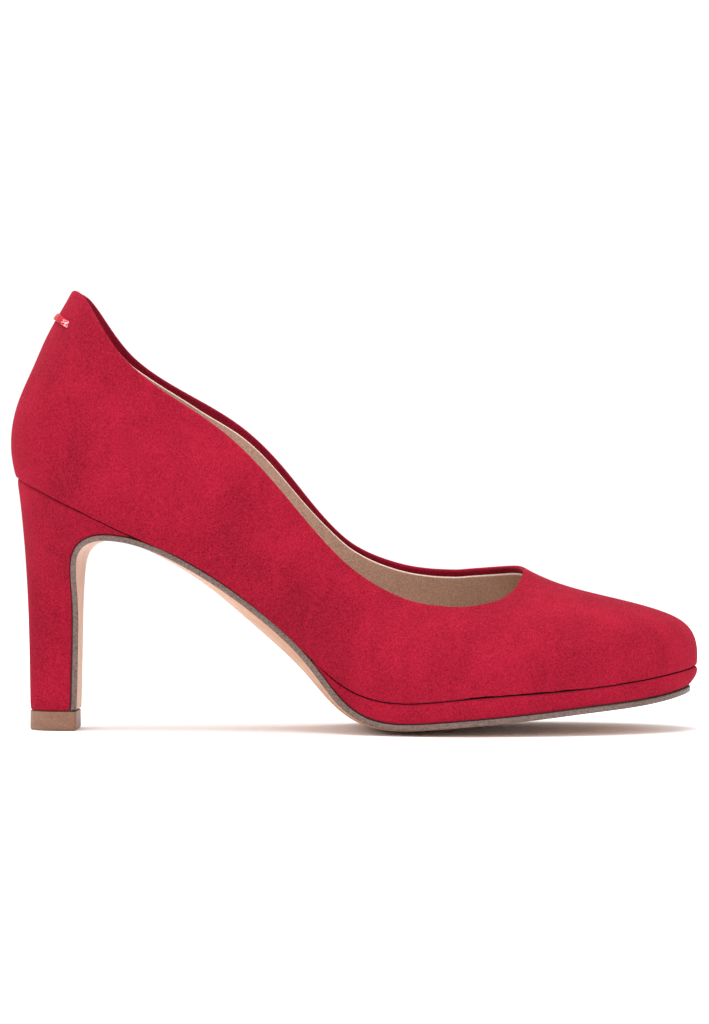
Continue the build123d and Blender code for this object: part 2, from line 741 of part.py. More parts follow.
def make_heel():
    levels = np.linspace(TOP_PIECE_HEIGHT + BOND, HEEL_TOP, 30)
    core = skin([heel_block_section(z, COVER_THICKNESS + BOND) for z in levels])
    cover = skin([heel_shell_section(z, COVER_THICKNESS) for z in levels])
    return trim_heel(core), trim_heel(cover)


def make_top_piece():
    z = TOP_PIECE_HEIGHT
    back = [heel_point(LATERAL, 1 - t, z) for t in np.linspace(0, 1, 8)]
    back += [heel_point(MEDIAL, t, z) for t in np.linspace(1 / 7, 1, 7)]
    left, right = (TOP_PIECE_FRONT, back[0][1], z), (TOP_PIECE_FRONT, back[-1][1], z)
    face = Face(closed_wire([back, [back[-1], right], [right, left], [left, back[0]]]))
    block = Solid.extrude(face, Vector(0, 0, -z))
    front = to_frame((TOP_PIECE_FRONT - 1, 0, 0)).X
    posts = [e for e in block.edges() if abs(e.center().Z - z / 2) < 0.1 and e.center().X > front]
    rounded = block.fillet(POST_RADIUS, posts)
    foot = [e for e in rounded.edges() if e.center().Z < 0.01]
    return one_solid(rounded.fillet(FOOT_RADIUS, foot))


# ---- Hardware -------------------------------------------------------------------------------------
def make_heel_screw():
    low, high = SCREW_SPAN
    head_radius, head_height = SCREW_HEAD
    shaft = upright_rod(SCREW_U, 0, SCREW_RADIUS, low, high - head_height)
    head = upright_rod(SCREW_U, 0, head_radius, high - head_height, high)
    return one_solid(shaft.fuse(head))


def make_heel_nails():
    nails = []
    for u, y in NAIL_PLACES:
        top = feather_offset(u, BOARD[1])[2] + 0.2
        nails.append(upright_rod(u, y, NAIL_RADIUS, top - NAIL_LENGTH, top))
    return nails


def make_rivets():
    rivets = []
    for u in RIVET_PLACES:
        low = feather_offset(u, SHANK_BOARD[0])[2] + RIVET_RAISE
        high = feather_offset(u, BOARD[1])[2]
        rivets.append(upright_rod(u, 0, RIVET_RADIUS, low, high))
    return rivets


def make_heel_pin():
    tube = upright_rod(HEEL_PIN_U, 0, HEEL_PIN_RADIUS, TOP_PIECE_HEIGHT + BOND, HEEL_PIN_TOP)
    return one_solid(tube.cut(upright_rod(HEEL_PIN_U, 0, DOWEL_RADIUS, 0, HEEL_PIN_TOP + 1)))


def cut_all(solid, tools):
    for tool in tools:
        solid = one_solid(solid.cut(tool))
    return solid


# ---- Assembly -------------------------------------------------------------------------------------
def build_parts():
    parts = {}
    wall_low = MARGIN_TOP + 0.2
    parts["upper"] = make_upper()
    parts["back_tab"] = make_back_tab()
    parts["heel_counter"] = make_layer(MIDDLE_DEPTHS, wall_low, FOLD_HEIGHT + 0.3, 0.0, COUNTER_END)
    parts["interlining_lateral"] = make_interlining(LATERAL)
    parts["interlining_medial"] = make_interlining(MEDIAL)
    parts["toe_puff"] = make_layer(MIDDLE_DEPTHS, wall_low, FOLD_HEIGHT + 0.3, PUFF_START, 3.0)
    parts["quarter_lining"] = make_layer(LINING_DEPTHS, wall_low, LINING_DROP, 0.0, LINING_SEAM)
    parts["vamp_lining"] = make_layer(LINING_DEPTHS, wall_low, LINING_DROP, LINING_SEAM + 0.005, 3.0)

    screw, nails, rivets = make_heel_screw(), make_heel_nails(), make_rivets()
    shank, pin = make_shank(), make_heel_pin()
    dowel = upright_rod(HEEL_PIN_U, 0, DOWEL_RADIUS, *DOWEL_SPAN)
    fixings = [screw] + nails + rivets

    parts["insock"] = make_stack_layer(SOCK, INSOLE_INSET)
    parts["insock_foam"] = make_stack_layer(FOAM, INSOLE_INSET + 0.5)
    parts["insole_board"] = cut_all(make_stack_layer(BOARD, INSOLE_INSET), fixings)
    board = make_stack_layer(SHANK_BOARD, SHANK_BOARD_INSET, last=SHANK_BOARD_END)
    parts["shank_board"] = cut_all(board, [make_shank_slot(), screw] + nails)
    parts["bottom_filler"] = make_stack_layer(SHANK_BOARD, SHANK_BOARD_INSET, first=SHANK_BOARD_END + 0.2)
    parts["shank_steel"] = cut_all(shank, rivets)
    parts["waist_filler"] = make_waist_filler()
    parts["platform_core"] = make_platform_core()
    parts["platform_cover"] = make_platform_cover()
    parts["outsole"] = make_outsole()

    core, cover = make_heel()
    pin_hole = upright_rod(HEEL_PIN_U, 0, HEEL_PIN_RADIUS, 0, HEEL_PIN_TOP)
    parts["heel_core"] = cut_all(core, [screw, pin_hole] + nails)
    parts["heel_cover"] = cover
    parts["heel_pin"] = pin
    parts["top_piece"] = cut_all(make_top_piece(), [dowel])
    parts["top_piece_dowel"] = dowel
    parts["heel_screw"] = screw
    parts["heel_nails"] = Compound(nails)
    parts["shank_rivets"] = Compound(rivets)
    return parts


def write_parts(parts):
    os.makedirs("parts", exist_ok=True)
    for name, shape in parts.items():
        shape.label = name
        export_step(shape, f"parts/{name}.step")
        box = shape.bounding_box()
        print(f"{name:20s} volume {shape.volume:10.1f}  low {box.min}  high {box.max}")


write_parts(build_parts())
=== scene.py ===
"""High heel pump: the looks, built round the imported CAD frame. Lengths are in metres."""

import math
from functools import partial

import bpy
import numpy as np
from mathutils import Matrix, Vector
from mathutils.bvhtree import BVHTree


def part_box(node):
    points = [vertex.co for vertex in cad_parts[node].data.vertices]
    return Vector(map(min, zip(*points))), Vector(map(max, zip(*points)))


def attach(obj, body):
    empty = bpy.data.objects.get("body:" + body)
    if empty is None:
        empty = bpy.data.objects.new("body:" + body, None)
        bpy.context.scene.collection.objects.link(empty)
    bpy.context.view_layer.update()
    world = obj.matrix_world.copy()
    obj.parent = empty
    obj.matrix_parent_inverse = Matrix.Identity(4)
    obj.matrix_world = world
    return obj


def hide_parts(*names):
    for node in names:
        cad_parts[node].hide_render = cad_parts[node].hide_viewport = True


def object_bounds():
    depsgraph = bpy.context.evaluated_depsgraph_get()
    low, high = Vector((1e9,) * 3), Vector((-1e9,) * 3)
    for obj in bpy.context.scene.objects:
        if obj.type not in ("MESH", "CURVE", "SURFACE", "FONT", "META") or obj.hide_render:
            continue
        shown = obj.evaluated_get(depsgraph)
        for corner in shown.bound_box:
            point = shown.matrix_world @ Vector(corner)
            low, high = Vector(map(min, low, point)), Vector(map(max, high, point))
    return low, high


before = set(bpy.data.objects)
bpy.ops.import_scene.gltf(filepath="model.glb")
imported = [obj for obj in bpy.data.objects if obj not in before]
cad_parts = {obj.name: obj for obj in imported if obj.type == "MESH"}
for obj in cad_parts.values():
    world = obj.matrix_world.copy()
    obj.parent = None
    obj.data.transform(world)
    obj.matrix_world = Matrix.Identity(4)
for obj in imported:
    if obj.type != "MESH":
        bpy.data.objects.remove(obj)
cad_low, cad_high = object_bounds()

MM = 0.001
LATERAL, MEDIAL = -1, 1

# The upright section planes turn about the heel's axis, cross the sides, and turn about the throat's.
HEEL_AXIS, THROAT_AXIS = -77 * MM, 35 * MM
HEEL_TURNS, SIDE_STEPS, TOE_STEPS = 14, 30, 26
# Angles from straight back: close together at the back seam, then evenly from the first wide one.
CLOSE_ANGLES, FIRST_WIDE_ANGLE = [0.0, 1.2, 3.0], 6.5
FAR = 110 * MM
WALL_STEP, FINE_STEP = 0.4 * MM, 0.1 * MM
# A wall's profile that leans more than this, in reach over height, is a turned-in edge.
STEEPEST = 1.5

# The upper: suede folded in at the topline.
FOLD_RADIUS = 1.0 * MM
FOLD_ANGLES = (40, 75, 105, 140)
SUEDE_THICKNESS = 1.2 * MM
FOLD_RUN = 6.0 * MM
SEAM_TUCK = 0.24 * MM
BACK_SEAM_DEPTH = 0.28 * MM
# Its rows of points: up from the foot, between, down from the top, and down the inside.
FOOT_ROWS = (0.0, 0.35 * MM, 0.9 * MM, 2.2 * MM)
MIDDLE_ROWS, INNER_ROWS = 14, 7
TOP_ROWS = (4.2 * MM, 2.2 * MM, FOLD_RADIUS)
FOLD_ROWS = (1.0 * MM, 2.4 * MM, 4.2 * MM, FOLD_RUN)
INNER_EASE = 0.6 * MM

# The linings inside it.
LINING_OUTER, LINING_INNER = 2.05 * MM, 2.85 * MM
LINING_DROP, STEEPEST_DROP = 1.75 * MM, 2.2
LINING_ROWS, LINING_LAST_ROW = 12, 1.2 * MM
LINING_CORNER = 0.2 * MM
LINING_LAP = 0.4 * MM
LINING_FOOT = 2.5 * MM
LINING_SEAM_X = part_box("vamp_lining")[0].x
# The suede facing above the lining isn't even: places along the shoe, and how much deeper it is.
FACING_PLACES = np.array([-87, -80, -72, -60, -52, -45, -38, -23, -9, 8, 27]) * MM
FACING_DEEPER = np.array([2.2, 1.2, 0.3, 0.6, 1.5, 1.3, 0.9, 1.0, -0.6, 0.1, 0.3]) * MM
# How much darker the suede's inner side is: painted shade inside the topline, not the suede's own colour.
FACING_PAINTED_SHADE = 0.84

# The platform's cover: its skin, the planes of its thin tail, and its shortest wall.
COVER_SKIN = 0.9 * MM
COVER_TAIL = (0.1 * MM, 1.0 * MM)
COVER_SHORTEST = 0.4 * MM

# The heel: a grid of columns and rows on its skin, steps along its corner, and how far its rays reach.
HEEL_COLUMNS, HEEL_ROWS = 16, 34
BREAST_STEPS, CORNER_STEPS, UNDER_STEPS = 24, 15, 8
HEEL_SKIN = 0.9 * MM
HEEL_FAR = 40 * MM
CORNER_INSET = 0.12 * MM
STRAY = 0.3 * MM
# Its centre leans back from the stem, over the lift, to the seat, along a curve of this power.
LEAN_POWER = 1.5
HEEL_LOW, SEAT_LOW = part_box("heel_cover")[0].z, 64.0 * MM
STEM_X, SEAT_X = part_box("top_piece")[0].x + 7.5 * MM, -88 * MM
SEAT_FRONT_X = -72 * MM

# The sole bends from the breast to the waist about this line, and is looked at from below.
BEND_X, BEND_Z = -81 * MM, 52 * MM
BELOW, ABOVE = -10 * MM, 95 * MM
FLAP_STEPS, BEND_STEPS, WAIST_STEPS = 18, 11, 40
FLAP_GAP = 0.2 * MM
SOCK_HEEL_STEPS, SOCK_SIDE_STEPS, SOCK_TOE_STEPS = 14, 32, 17

# The sole and the sock are sheets: their rounded rim, and points from the middle to it.
EDGE_ROUND = 0.35 * MM
WIDEST = 85 * MM
THICKEST, LOOK_BACK = 6 * MM, 8 * MM
# A line of sight that falls through a seam between faces is tried again this far to each side.
NUDGES = (0.0, 0.03 * MM, -0.03 * MM)
SHEET_SHARES = (0.0, 0.2, 0.4, 0.6, 0.78, 0.92)
RIM_POINTS = 5

# The patent tab: its reach round the back in degrees, how its ends dip in, and its crowned section.
TAB_TURN, TAB_STEPS = 41, 41
TAB_END_DIP = 0.6 * MM
TAB_THICKNESS = 0.9 * MM
TAB_SHARES = (0.0, 0.08, 0.25, 0.5, 0.75, 0.92, 1.0)
TAB_CROWN = (0.35, 0.1, 0.0, -0.08, 0.0, 0.1, 0.35)

# The camera looks level along +Y at the shoe's outer side.
CAMERA_PLACE = (-0.0006, -0.975, 0.073)
CAMERA_LENS, CAMERA_SENSOR = 101.9, 36.0

# The closed-in nodes' finishes: dark and light colour, grain size, metallic, roughness. The insole's
# fibre, the felt and the plastic cores show in seams, and are made dark as painted shade there.
HIDDEN_FINISHES = {
    "counter_board": ((120, 84, 66), (140, 100, 80), 2 * MM, 0.0, 0.7),
    "interlining": ((214, 208, 196), (230, 226, 216), MM, 0.0, 0.9),
    "foam": ((214, 204, 176), (232, 224, 200), MM, 0.0, 0.9),
    # Painted shade: the fibre board is made dark red-brown, not its own tan, where it shows in a seam.
    "insole_fibre": ((84, 48, 40), (104, 62, 50), 3 * MM, 0.0, 0.8),
    "shank_fibre": ((112, 84, 62), (138, 106, 80), 3 * MM, 0.0, 0.8),
    # Painted shade: the felt and the platform's and heel's plastic cores are made dark where they show in
    # seams.
    "felt": ((40, 22, 24), (58, 32, 34), 1.5 * MM, 0.0, 0.95),
    "platform_plastic": ((52, 8, 16), (68, 12, 22), 8 * MM, 0.0, 0.5),
    "heel_plastic": ((52, 8, 16), (68, 12, 22), 8 * MM, 0.0, 0.45),
    "steel": ((120, 122, 126), (168, 170, 174), 2 * MM, 1.0, 0.35),
}
HIDDEN_NODES = {
    "counter_board": ("heel_counter", "toe_puff"),
    "interlining": ("interlining_lateral", "interlining_medial"),
    "foam": ("insock_foam",),
    "insole_fibre": ("insole_board",),
    "shank_fibre": ("shank_board",),
    "felt": ("bottom_filler", "waist_filler"),
    "platform_plastic": ("platform_core",),
    "heel_plastic": ("heel_core",),
    "steel": ("shank_steel", "heel_pin", "heel_screw", "heel_nails", "shank_rivets", "top_piece_dowel"),
}


# ---- Directions ----------------------------------------------------------------------------------
def from_back(angle, side):
    """The level direction at an angle from straight back, turned to one side."""
    return Vector((-math.cos(angle), side * math.sin(angle), 0))


def across(side):
    """Square across the shoe, to one side."""
    return Vector((0, side, 0))


def round_toe(angle, side):
    """The level direction at an angle from square across, turned to the toe."""
    return Vector((math.sin(angle), side * math.cos(angle), 0))


def round_bend(angle):
    """Where the sole's bend is looked at: from straight back, turned up."""
    return Vector((-math.cos(angle), 0, math.sin(angle)))


def quarter_turn(steps):
    """Even angles from just past zero to square."""
    return np.linspace(0, math.pi / 2, steps + 1)[1:]


# ---- Reading the frame ---------------------------------------------------------------------------
def tree_of(*names):
    """One ray-casting tree over several CAD nodes."""
    points, faces = [], []
    for name in names:
        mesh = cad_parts[name].data
        mesh.calc_loop_triangles()
        start = len(points)
        points += [v.co.copy() for v in mesh.vertices]
        faces += [[start + i for i in t.vertices] for t in mesh.loop_triangles]
    return BVHTree.FromPolygons(points, faces)


def reach(tree, axis_x, direction, z, far=FAR):
    """How far the outermost wall is from the upright axis, at one height and direction."""
    start = Vector((axis_x, 0, z)) + direction * far
    hit = tree.ray_cast(start, -direction, far)
    return None if hit[0] is None else far - hit[3]


def last_hit(tree, axis_x, direction, inside, outside):
    """Halves the gap between a height with a wall and one without, down to a hair."""
    for _ in range(12):
        middle = (inside + outside) / 2
        if reach(tree, axis_x, direction, middle) is None:
            outside = middle
        else:
            inside = middle
    return inside


def wall_profile(tree, axis_x, direction, step=WALL_STEP, square_top=True):
    """The outer wall's (reach, height) points in one plane, from its foot to its top."""
    heights = np.arange(cad_low.z - step, cad_high.z + 2 * step, step)
    found = [(z, reach(tree, axis_x, direction, z)) for z in heights]
    hits = [(r, z) for z, r in found if r is not None]
    if len(hits) < 2:
        return None
    top = last_hit(tree, axis_x, direction, hits[-1][1], hits[-1][1] + step)
    foot = last_hit(tree, axis_x, direction, hits[0][1], hits[0][1] - step)
    points = [(reach(tree, axis_x, direction, foot), foot)] + hits
    points.append((reach(tree, axis_x, direction, top), top))
    return outer_wall(np.array(points), square_top)


def outer_wall(points, square_top):
    """Drops the ends where the profile turns in under the foot or over a square-cut top."""
    slopes = np.diff(points[:, 0]) / np.maximum(np.diff(points[:, 1]), 1e-6)
    middle = len(slopes) // 3
    first, last = middle, len(points) - 1
    while first > 0 and slopes[first - 1] < STEEPEST:
        first -= 1
    if square_top:
        last = middle
        while last < len(slopes) and slopes[last] > -STEEPEST:
            last += 1
    return points[first : last + 1]


def distances(points):
    """How far along a line of points each one is."""
    steps = np.linalg.norm(np.diff(points, axis=0), axis=1)
    return np.concatenate([[0], np.cumsum(steps)])


class Wall:
    """One plane's wall profile, walked by distance from the foot."""

    def __init__(self, points, axis_x, direction):
        self.run = distances(points)
        self.points = points
        self.length = self.run[-1]
        self.axis_x = axis_x
        self.direction = direction

    def at(self, run):
        """The (reach, height) at a distance up the wall."""
        run = np.clip(run, 0, self.length)
        return np.array([np.interp(run, self.run, self.points[:, k]) for k in (0, 1)])

    def outward(self, run):
        """The wall's outward direction in its plane."""
        look = 1.5 * MM
        ahead = self.at(min(run + look, self.length))
        behind = self.at(max(run - look, 0))
        along = (ahead - behind) / np.linalg.norm(ahead - behind)
        return np.array([along[1], -along[0]])

    def spot(self, run, depth=0.0):
        """A point of the plane, as (reach, height), at a depth inside the wall."""
        return self.at(run) - self.outward(run) * depth

    def place(self, flat):
        """The place in the model of a (reach, height) point."""
        away, height = float(flat[0]), float(flat[1])
        return Vector((self.axis_x, 0, 0)) + self.direction * away + Vector((0, 0, height))


# ---- Section planes ------------------------------------------------------------------------------
def heel_angles():
    """Angles from straight back to square across, closer together at the back seam."""
    wide = np.linspace(FIRST_WIDE_ANGLE, 90, HEEL_TURNS + 1)
    return [math.radians(a) for a in CLOSE_ANGLES + list(wide)]


def half_ring(side):
    """The planes of one side, from the back seam to the toe's tip."""
    planes = [(HEEL_AXIS, from_back(a, side)) for a in heel_angles()]
    planes += [(x, across(side)) for x in np.linspace(HEEL_AXIS, THROAT_AXIS, SIDE_STEPS + 1)[1:]]
    planes += [(THROAT_AXIS, round_toe(a, side)) for a in quarter_turn(TOE_STEPS)]
    return planes


def full_ring():
    """Every plane once: back seam, outer side, toe, inner side, and back."""
    lateral, medial = half_ring(LATERAL), half_ring(MEDIAL)
    return lateral + medial[-2:0:-1]


def walls_of(tree, planes, **options):
    """The wall in each plane, or None where the tree has none; only the toe's tops are round."""
    walls = []
    for axis_x, direction in planes:
        square_top = direction.x < 0.1
        points = wall_profile(tree, axis_x, direction, square_top=square_top, **options)
        walls.append(None if points is None else Wall(points, axis_x, direction))
    return walls


# ---- Mesh making ---------------------------------------------------------------------------------
def grid_mesh(name, sections, closed_section=True, closed_ring=False, caps=(False, False)):
    """A quad mesh through sections that all have the same number of points."""
    count, rows = len(sections[0]), len(sections)
    points = [tuple(p) for section in sections for p in section]
    faces = []
    for i in range(rows if closed_ring else rows - 1):
        a, b = i * count, (i + 1) % rows * count
        for k in range(count if closed_section else count - 1):
            following = (k + 1) % count
            faces.append((a + k, a + following, b + following, b + k))
    for wanted, start in zip(caps, (0, (rows - 1) * count)):
        if wanted:
            faces += cap_faces(start, count)
    mesh = bpy.data.meshes.new(name)
    mesh.from_pydata(points, [], faces)
    mesh.validate()
    piece = bpy.data.objects.new(name, mesh)
    bpy.context.scene.collection.objects.link(piece)
    return piece


def cap_faces(start, count):
    """Closes one end of a tube whose section goes out along one row and back along its twin."""
    return [
        (start + k, start + k + 1, start + count - 2 - k, start + count - 1 - k)
        for k in range(count // 2 - 1)
    ]


def tidy_mesh(piece, merge=0.01 * MM):
    """Joins doubled points and turns every face outward."""
    bpy.ops.object.select_all(action="DESELECT")
    piece.select_set(True)
    bpy.context.view_layer.objects.active = piece
    bpy.ops.object.mode_set(mode="EDIT")
    bpy.ops.mesh.select_all(action="SELECT")
    bpy.ops.mesh.remove_doubles(threshold=merge)
    bpy.ops.mesh.normals_make_consistent(inside=False)
    bpy.ops.object.mode_set(mode="OBJECT")


def smooth_piece(piece, levels=2):
    """Shades a piece smooth and rounds it with a subdivision."""
    tidy_mesh(piece)
    for polygon in piece.data.polygons:
        polygon.use_smooth = True
    modifier = piece.modifiers.new("Smooth", "SUBSURF")
    modifier.levels = levels
    modifier.render_levels = levels
    return piece


def finish_piece(piece, material, slot, *replaced):
    """Gives a piece its material and its body, and hides the CAD nodes that it stands for."""
    materials = material if isinstance(material, list) else [material]
    for one in materials:
        piece.data.materials.append(one)
    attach(piece, "root")
    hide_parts(*replaced)
    return piece


# ---- Material nodes ------------------------------------------------------------------------------
class Shader:
    """Builds one material's nodes."""

    def __init__(self, name, roughness=0.5, **settings):
        self.material = bpy.data.materials.new(name)
        self.material.use_nodes = True
        self.nodes = self.material.node_tree.nodes
        self.links = self.material.node_tree.links
        self.surface = self.nodes["Principled BSDF"]
        self.surface.inputs["Roughness"].default_value = roughness
        for socket, value in settings.items():
            self.surface.inputs[socket.replace("_", " ")].default_value = value
        self.coordinates = self.nodes.new("ShaderNodeTexCoord").outputs["Object"]

    def node(self, kind, inputs):
        """A new node, with its inputs given by name or number."""
        node = self.nodes.new(kind)
        self.feed(node, inputs)
        return node

    def feed(self, node, inputs):
        """Links or sets a node's inputs."""
        for socket, value in inputs.items():
            if isinstance(value, bpy.types.NodeSocket):
                self.links.new(value, node.inputs[socket])
            else:
                node.inputs[socket].default_value = value

    def stretched(self, scale):
        """Coordinates stretched by a factor along each axis."""
        node = self.node("ShaderNodeMapping", {"Scale": scale, "Vector": self.coordinates})
        return node.outputs["Vector"]

    def noise(self, size, detail=3.0, roughness=0.5, distortion=0.0, vector=None):
        """Cloudy noise whose blobs are about size across."""
        inputs = {"Scale": 1 / size, "Detail": detail, "Roughness": roughness, "Distortion": distortion}
        inputs["Vector"] = vector or self.coordinates
        return self.node("ShaderNodeTexNoise", inputs).outputs["Fac"]

    def cells(self, size):
        """The distance from each point to the middle of its cell."""
        node = self.node("ShaderNodeTexVoronoi", {"Scale": 1 / size, "Vector": self.coordinates})
        return node.outputs["Distance"]

    def ramp(self, source, stops):
        """Colours or greys over a 0 to 1 input; stops are (place, value)."""
        node = self.node("ShaderNodeValToRGB", {"Fac": source})
        elements = node.color_ramp.elements
        while len(elements) < len(stops):
            elements.new(0.5)
        for element, (place, value) in zip(elements, stops):
            element.position = place
            element.color = colour(value) if isinstance(value, tuple) else (value, value, value, 1)
        return node.outputs["Color"]

    def mix(self, share, first, second):
        """Blends two colours; the share is the second's."""
        node = self.nodes.new("ShaderNodeMix")
        node.data_type = "RGBA"
        self.feed(node, {0: share, 6: first, 7: second})
        return node.outputs[2]

    def maths(self, operation, first, second=0.0):
        """One sum on one or two values."""
        node = self.node("ShaderNodeMath", {0: first, 1: second})
        node.operation = operation
        return node.outputs[0]

    def across(self):
        """How far each point is from the centre plane."""
        node = self.node("ShaderNodeSeparateXYZ", {"Vector": self.coordinates})
        return self.maths("ABSOLUTE", node.outputs["Y"])

    def spread(self, source, low, high, start=0.0, end=1.0):
        """Stretches a value between start and end to a range."""
        inputs = {"From Min": start, "From Max": end, "To Min": low, "To Max": high, "Value": source}
        return self.node("ShaderNodeMapRange", inputs).outputs["Result"]

    def bump(self, height, distance, strength=1.0, under=None):
        """A surface relief that is distance deep, over another one if there is one."""
        node = self.node("ShaderNodeBump", {"Strength": strength, "Distance": distance, "Height": height})
        if under is not None:
            self.feed(node, {"Normal": under})
        return node.outputs["Normal"]

    def done(self, base, normal=None, roughness=None):
        """Joins the finished colour, relief and roughness to the surface."""
        for socket, source in (("Base Color", base), ("Normal", normal), ("Roughness", roughness)):
            if source is not None:
                self.feed(self.surface, {socket: source})
        return self.material


def colour(rgb):
    """A colour given in steps from 0 to 255, as the shaders' linear values."""
    return (*(linear(value / 255) for value in rgb), 1.0)


def linear(value):
    """The standard screen curve, undone."""
    return value / 12.92 if value <= 0.04045 else ((value + 0.055) / 1.055) ** 2.4


def scaled(rgb, factor):
    """A colour made darker or lighter."""
    return tuple(value * factor for value in rgb)


# ---- Materials -----------------------------------------------------------------------------------
def deepened(stops, depth):
    """A ramp's stops with every colour darkened by the same factor."""
    return [(place, scaled(rgb, depth)) for place, rgb in stops]


def suede_material(name="suede_red", depth=1.0):
    """Red kid suede: brushed patches, mottled nap and fine fibres. A lower depth is a darker red, which
    the suede's inner side uses as painted shade.
    """
    patch_reds = [(0.36, (112, 4, 25)), (0.5, (130, 8, 31)), (0.64, (148, 16, 40))]
    stroke_reds = [(0.36, (106, 3, 23)), (0.64, (154, 20, 43))]
    nap_reds = [(0.32, (84, 2, 16)), (0.68, (186, 42, 66))]
    shader = Shader(name, roughness=0.95, Sheen_Weight=0.1, Sheen_Roughness=0.5)
    shader.surface.inputs["Sheen Tint"].default_value = colour((255, 90, 105))
    shader.surface.inputs["Specular IOR Level"].default_value = 0.06
    patches = shader.noise(34 * MM, 2.0, 0.5, 0.5)
    base = shader.ramp(patches, deepened(patch_reds, depth))
    strokes = shader.noise(11 * MM, 3.0, 0.55, 1.2, shader.stretched((1.0, 1.0, 0.6)))
    base = shader.mix(0.3, base, shader.ramp(strokes, deepened(stroke_reds, depth)))
    nap = shader.noise(0.55 * MM, 3.0, 0.7)
    base = shader.mix(0.4, base, shader.ramp(nap, deepened(nap_reds, depth)))
    fibres = shader.noise(0.28 * MM, 2.0, 0.6)
    normal = shader.bump(nap, 0.16 * MM, 0.8)
    normal = shader.bump(fibres, 0.1 * MM, 0.7, normal)
    return shader.done(base, normal, shader.spread(patches, 0.88, 1.0))


def patent_material():
    """Glossy red patent leather, creased where its ends pass through the suede. Its real shine is kept
    faint, and the creases near the ends carry painted whitish highlights.
    """
    shader = Shader("patent_red", roughness=0.3, Coat_Weight=0.03, Coat_Roughness=0.08)
    shader.surface.inputs["Specular IOR Level"].default_value = 0.05
    tone = shader.noise(4 * MM, 2.0)
    base = shader.ramp(tone, [(0.35, (150, 2, 24)), (0.65, (176, 6, 32))])
    creases = shader.noise(0.9 * MM, 2.0, 0.5, 0.8, shader.stretched((0.5, 0.4, 1.8)))
    ends = shader.spread(shader.across(), 0.0, 1.0, 11.5 * MM, 14 * MM)
    folds = shader.maths("MULTIPLY", creases, ends)
    # Painted highlight: the crease tops near the ends are mixed towards a pinkish white, standing in for
    # their reflections.
    painted_crease_highlights = shader.ramp(folds, [(0.48, 0.0), (0.62, 0.8)])
    base = shader.mix(painted_crease_highlights, base, colour((250, 196, 200)))
    return shader.done(base, shader.bump(folds, 0.3 * MM, 0.8))


def lining_material(name, dark, light):
    """Smooth goat lining: fine pebble, faint clouding."""
    shader = Shader(name, roughness=0.55)
    shader.surface.inputs["Specular IOR Level"].default_value = 0.35
    clouds = shader.noise(14 * MM, 3.0, 0.5)
    base = shader.ramp(clouds, [(0.3, dark), (0.7, light)])
    pores = shader.cells(0.7 * MM)
    base = shader.mix(0.4, base, shader.ramp(pores, [(0.0, scaled(dark, 0.6)), (0.5, light)]))
    grain = shader.noise(0.6 * MM, 3.0, 0.7)
    speckled = shader.ramp(grain, [(0.35, scaled(dark, 0.66)), (0.65, scaled(light, 1.08))])
    base = shader.mix(0.4, base, speckled)
    normal = shader.bump(pores, 0.07 * MM, 0.5)
    normal = shader.bump(grain, 0.05 * MM, 0.5, normal)
    return shader.done(base, normal, shader.spread(clouds, 0.48, 0.62))


def sole_bottom_material():
    """Tan sole leather: long faint streaks and fine scuffs."""
    shader = Shader("outsole_tan", roughness=0.45)
    streaks = shader.noise(6 * MM, 4.0, 0.6, 0.5, shader.stretched((0.35, 1.6, 1.0)))
    base = shader.ramp(streaks, [(0.3, (178, 126, 92)), (0.7, (204, 152, 116))])
    scuffs = shader.noise(1.2 * MM, 5.0, 0.7, 1.5, shader.stretched((0.25, 1.8, 1.0)))
    base = shader.mix(0.2, base, shader.ramp(scuffs, [(0.35, (152, 106, 78)), (0.6, (208, 160, 126))]))
    normal = shader.bump(shader.noise(0.4 * MM, 3.0, 0.6), 0.05 * MM, 0.5)
    normal = shader.bump(scuffs, 0.08 * MM, 0.35, normal)
    return shader.done(base, normal, shader.spread(scuffs, 0.36, 0.6))


def sole_edge_material():
    """The sole's painted edge: taupe, satin, scraped lengthwise, with dark specks and grit."""
    shader = Shader("outsole_edge", roughness=0.4)
    lengthwise = shader.noise(2.2 * MM, 4.0, 0.6, 0.4, shader.stretched((0.3, 0.3, 2.5)))
    base = shader.ramp(lengthwise, [(0.3, (78, 60, 54)), (0.7, (106, 82, 74))])
    specks = shader.cells(1.5 * MM)
    speckled = shader.ramp(specks, [(0.0, 1.0), (0.14, 1.0), (0.24, 0.0)])
    base = shader.mix(speckled, base, colour((36, 24, 24)))
    grit = shader.noise(0.5 * MM, 2.0, 0.6)
    base = shader.mix(0.5, base, shader.ramp(grit, [(0.38, (42, 30, 30)), (0.58, (122, 98, 86))]))
    normal = shader.bump(lengthwise, 0.08 * MM, 0.4)
    return shader.done(base, normal, shader.spread(lengthwise, 0.34, 0.5))


def rubber_material():
    """The heel lift: brown rubber with fine speckle."""
    shader = Shader("top_piece_rubber", roughness=0.5)
    speckle = shader.noise(0.6 * MM, 3.0, 0.7)
    base = shader.ramp(speckle, [(0.35, (108, 72, 52)), (0.65, (134, 93, 70))])
    smears = shader.noise(3 * MM, 3.0, 0.5, 0.6, shader.stretched((0.5, 0.5, 2.0)))
    base = shader.mix(0.25, base, shader.ramp(smears, [(0.35, (96, 64, 46)), (0.65, (142, 102, 80))]))
    return shader.done(base, shader.bump(speckle, 0.06 * MM, 0.5), shader.spread(smears, 0.42, 0.6))


def hidden_material(name, dark, light, size, metallic=0.0, roughness=0.6):
    """A plain procedural finish for a piece that is closed in."""
    shader = Shader(name, roughness=roughness, Metallic=metallic)
    cloud = shader.noise(size, 3.0, 0.6)
    base = shader.ramp(cloud, [(0.3, dark), (0.7, light)])
    return shader.done(base, shader.bump(cloud, 0.05 * MM, 0.4))


